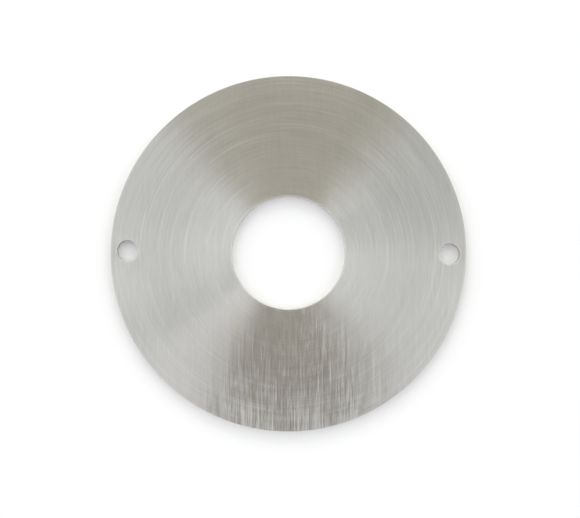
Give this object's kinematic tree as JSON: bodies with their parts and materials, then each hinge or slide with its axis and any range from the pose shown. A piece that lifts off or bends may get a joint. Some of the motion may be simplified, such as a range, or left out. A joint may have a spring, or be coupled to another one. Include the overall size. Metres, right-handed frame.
{
  "type": "flange plate",
  "caption": "Flat round brushed steel plate with a central bore and small fixing holes near its rim, on one diameter, that mounts or covers a round opening.",
  "frame": {"origin": "centre of the bore at the plate's back face", "axes": "+Z out of the brushed front face, along the bore; +X towards the right fixing hole, seen from the front with +Y up"},
  "size_m": [0.1, 0.1, 0.003],
  "materials": {
    "brushed_stainless_steel": "fine circular brushing crossed by straight scratches"
  },
  "bodies": {
    "root": {"flange_plate": "brushed_stainless_steel"}
  },
  "joints": []
}
